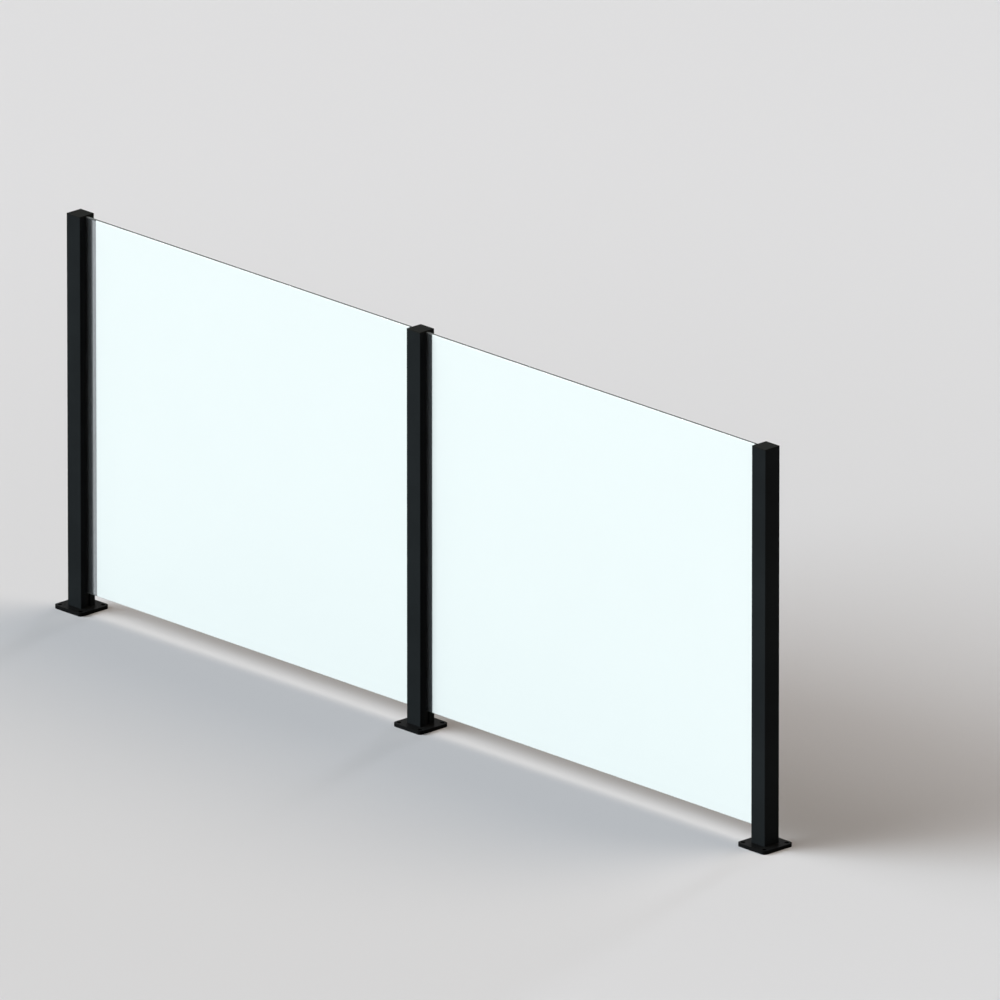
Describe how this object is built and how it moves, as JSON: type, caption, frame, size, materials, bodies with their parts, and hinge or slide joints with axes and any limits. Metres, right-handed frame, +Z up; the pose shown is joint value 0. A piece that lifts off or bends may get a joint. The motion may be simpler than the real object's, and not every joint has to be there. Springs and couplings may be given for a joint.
{
  "type": "glass fence panel",
  "caption": "Straight glass fence of square slotted black posts on drilled base plates, with frameless toughened glass held between them in rubber gaskets.",
  "frame": {"origin": "on the ground, at the centre of the underside of the middle post's base plate", "axes": "+X along the fence towards its right post, +Y towards its back, +Z up"},
  "size_m": [2.705, 0.105, 1.1],
  "materials": {
    "post_coat": "satin",
    "plate_coat": "satin",
    "cap_coat": "satin",
    "screw_steel": "satin",
    "glass": "gloss",
    "gasket_rubber": "matte",
    "block_plastic": "matte",
    "pad_rubber": "matte"
  },
  "bodies": {
    "root": {"left_base_plate": "plate_coat", "middle_base_plate": "plate_coat", "right_base_plate": "plate_coat", "left_post": "post_coat", "middle_post": "post_coat", "right_post": "post_coat", "left_post_cap": "cap_coat", "middle_post_cap": "cap_coat", "right_post_cap": "cap_coat", "left_foot_screws": "screw_steel", "middle_foot_screws": "screw_steel", "right_foot_screws": "screw_steel", "left_glass": "glass", "right_glass": "glass", "left_post_front_gasket": "gasket_rubber", "left_post_rear_gasket": "gasket_rubber", "middle_post_left_front_gasket": "gasket_rubber", "middle_post_left_rear_gasket": "gasket_rubber", "middle_post_right_front_gasket": "gasket_rubber", "middle_post_right_rear_gasket": "gasket_rubber", "right_post_front_gasket": "gasket_rubber", "right_post_rear_gasket": "gasket_rubber", "left_post_support_block": "block_plastic", "middle_post_left_support_block": "block_plastic", "middle_post_right_support_block": "block_plastic", "right_post_support_block": "block_plastic", "left_post_setting_pad": "pad_rubber", "middle_post_left_setting_pad": "pad_rubber", "middle_post_right_setting_pad": "pad_rubber", "right_post_setting_pad": "pad_rubber"}
  },
  "joints": []
}
